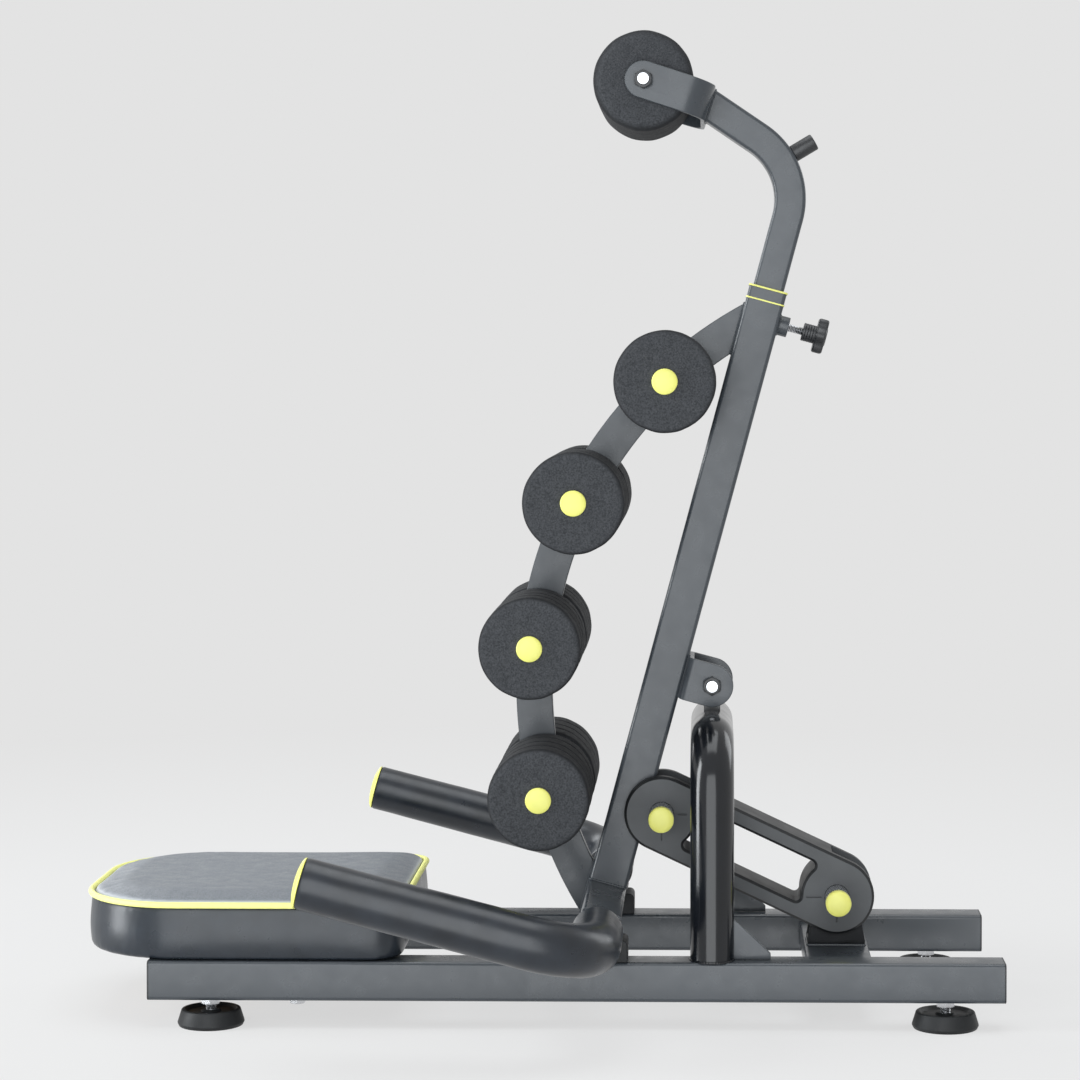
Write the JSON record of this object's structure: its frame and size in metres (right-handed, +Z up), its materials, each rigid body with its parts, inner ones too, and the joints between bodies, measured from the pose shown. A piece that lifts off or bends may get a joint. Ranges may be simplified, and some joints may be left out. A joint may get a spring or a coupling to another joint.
{
  "type": "spinal exercise bench",
  "caption": "Low padded seat on a rail frame with a leaning sprung post that carries foam back rollers, side handles and a height-adjustable neck roller.",
  "frame": {"origin": "on the floor, under the middle of the bench's outline", "axes": "+X towards the rear, away from the seat; +Y to the sitter's right; +Z up"},
  "size_m": [0.893, 0.649, 0.9591],
  "materials": {
    "frame_paint": "satin",
    "arch_paint": "gloss",
    "black_rubber": "matte",
    "link_rubber": "satin",
    "black_plastic": "satin",
    "yellow_plastic": "gloss",
    "axle_with_caps": "gloss",
    "yellow_piping": "satin",
    "bright_steel": "polished",
    "grip_foam": "gloss",
    "roller_foam": "matte",
    "seat_cover": "satin",
    "board_wood": "matte"
  },
  "bodies": {
    "base": {"left_rail": "frame_paint", "left_front_rail_plug": "black_plastic", "left_rear_rail_plug": "black_plastic", "right_rail": "frame_paint", "right_front_rail_plug": "black_plastic", "right_rear_rail_plug": "black_plastic", "front_cross_member": "frame_paint", "rear_cross_member": "frame_paint", "arch_tube": "arch_paint", "arch_lug": "arch_paint", "left_stop_block": "black_rubber", "right_stop_block": "black_rubber", "rear_peg_bracket": "frame_paint", "rear_peg": "bright_steel", "rubber_link": "link_rubber", "seat_board": "board_wood", "seat_cushion": "seat_cover", "seat_piping": "yellow_piping"},
    "lever": {"post_tube": "frame_paint", "handle_housing": "frame_paint", "handle_tube": "bright_steel", "left_grip": "grip_foam", "right_grip": "grip_foam", "left_grip_cap": "yellow_plastic", "right_grip_cap": "yellow_plastic", "bow_bar": "frame_paint", "clevis_bracket": "frame_paint", "pivot_bolt": "bright_steel", "pivot_nut": "black_plastic", "front_peg_bracket": "frame_paint", "front_peg": "bright_steel", "guide_bush": "yellow_plastic", "knob_boss": "frame_paint", "roller_axle_1": "axle_with_caps", "roller_axle_2": "axle_with_caps", "roller_axle_3": "axle_with_caps", "roller_axle_4": "axle_with_caps"},
    "headrest": {"upper_tube": "frame_paint", "top_stub": "black_plastic", "neck_fork": "frame_paint", "neck_bolt": "bright_steel", "neck_nut": "black_plastic"},
    "neck_roller": {"neck_roller": "roller_foam"},
    "height_knob": {"height_knob": "black_plastic"},
    "roller_1_left": {"roller_1_left_foam": "roller_foam"},
    "roller_1_right": {"roller_1_right_foam": "roller_foam"},
    "roller_2_left": {"roller_2_left_foam": "roller_foam"},
    "roller_2_right": {"roller_2_right_foam": "roller_foam"},
    "roller_3_left": {"roller_3_left_foam": "roller_foam"},
    "roller_3_right": {"roller_3_right_foam": "roller_foam"},
    "roller_4_left": {"roller_4_left_foam": "roller_foam"},
    "roller_4_right": {"roller_4_right_foam": "roller_foam"},
    "left_front_foot": {"left_front_foot_pad": "black_rubber", "left_front_foot_stud": "bright_steel"},
    "right_front_foot": {"right_front_foot_pad": "black_rubber", "right_front_foot_stud": "bright_steel"},
    "left_rear_foot": {"left_rear_foot_pad": "black_rubber", "left_rear_foot_stud": "bright_steel"},
    "right_rear_foot": {"right_rear_foot_pad": "black_rubber", "right_rear_foot_stud": "bright_steel"}
  },
  "joints": [
    {"name": "lever_tilt", "type": "hinge", "parent": "base", "child": "lever", "pos_m": [0.16716, 0, 0.31729], "axis": [0, 1, 0], "range_deg": [0, 25], "stiffness_Nm_per_rad": 90, "springref_deg": -5.73, "deforming": ["rubber_link"]},
    {"name": "headrest_height", "type": "slide", "parent": "lever", "child": "headrest", "axis": [0.2597, 0, 0.9657], "range_m": [-0.05, 0.12]},
    {"name": "knob_turn", "type": "hinge", "parent": "lever", "child": "height_knob", "pos_m": [0.21454, 0, 0.67816], "axis": [0.9657, 0, -0.2597], "continuous": true},
    {"name": "neck_roller_spin", "type": "hinge", "parent": "headrest", "child": "neck_roller", "pos_m": [0.1001, 0, 0.91008], "axis": [0, 1, 0], "continuous": true},
    {"name": "roller_1_left_spin", "type": "hinge", "parent": "lever", "child": "roller_1_left", "pos_m": [0.12183, 0, 0.61736], "axis": [0, 1, 0], "continuous": true},
    {"name": "roller_1_right_spin", "type": "hinge", "parent": "lever", "child": "roller_1_right", "pos_m": [0.12183, 0, 0.61736], "axis": [0, 1, 0], "continuous": true},
    {"name": "roller_2_left_spin", "type": "hinge", "parent": "lever", "child": "roller_2_left", "pos_m": [0.03473, 0, 0.50143], "axis": [0, 1, 0], "continuous": true},
    {"name": "roller_2_right_spin", "type": "hinge", "parent": "lever", "child": "roller_2_right", "pos_m": [0.03473, 0, 0.50143], "axis": [0, 1, 0], "continuous": true},
    {"name": "roller_3_left_spin", "type": "hinge", "parent": "lever", "child": "roller_3_left", "pos_m": [-0.00716, 0, 0.36262], "axis": [0, 1, 0], "continuous": true},
    {"name": "roller_3_right_spin", "type": "hinge", "parent": "lever", "child": "roller_3_right", "pos_m": [-0.00716, 0, 0.36262], "axis": [0, 1, 0], "continuous": true},
    {"name": "roller_4_left_spin", "type": "hinge", "parent": "lever", "child": "roller_4_left", "pos_m": [0.00124, 0, 0.21787], "axis": [0, 1, 0], "continuous": true},
    {"name": "roller_4_right_spin", "type": "hinge", "parent": "lever", "child": "roller_4_right", "pos_m": [0.00124, 0, 0.21787], "axis": [0, 1, 0], "continuous": true},
    {"name": "left_front_foot_turn", "type": "hinge", "parent": "base", "child": "left_front_foot", "pos_m": [-0.314, -0.124, 0], "axis": [0, 0, 1], "continuous": true},
    {"name": "right_front_foot_turn", "type": "hinge", "parent": "base", "child": "right_front_foot", "pos_m": [-0.314, 0.124, 0], "axis": [0, 0, 1], "continuous": true},
    {"name": "left_rear_foot_turn", "type": "hinge", "parent": "base", "child": "left_rear_foot", "pos_m": [0.39, -0.124, 0], "axis": [0, 0, 1], "continuous": true},
    {"name": "right_rear_foot_turn", "type": "hinge", "parent": "base", "child": "right_rear_foot", "pos_m": [0.39, 0.124, 0], "axis": [0, 0, 1], "continuous": true}
  ]
}
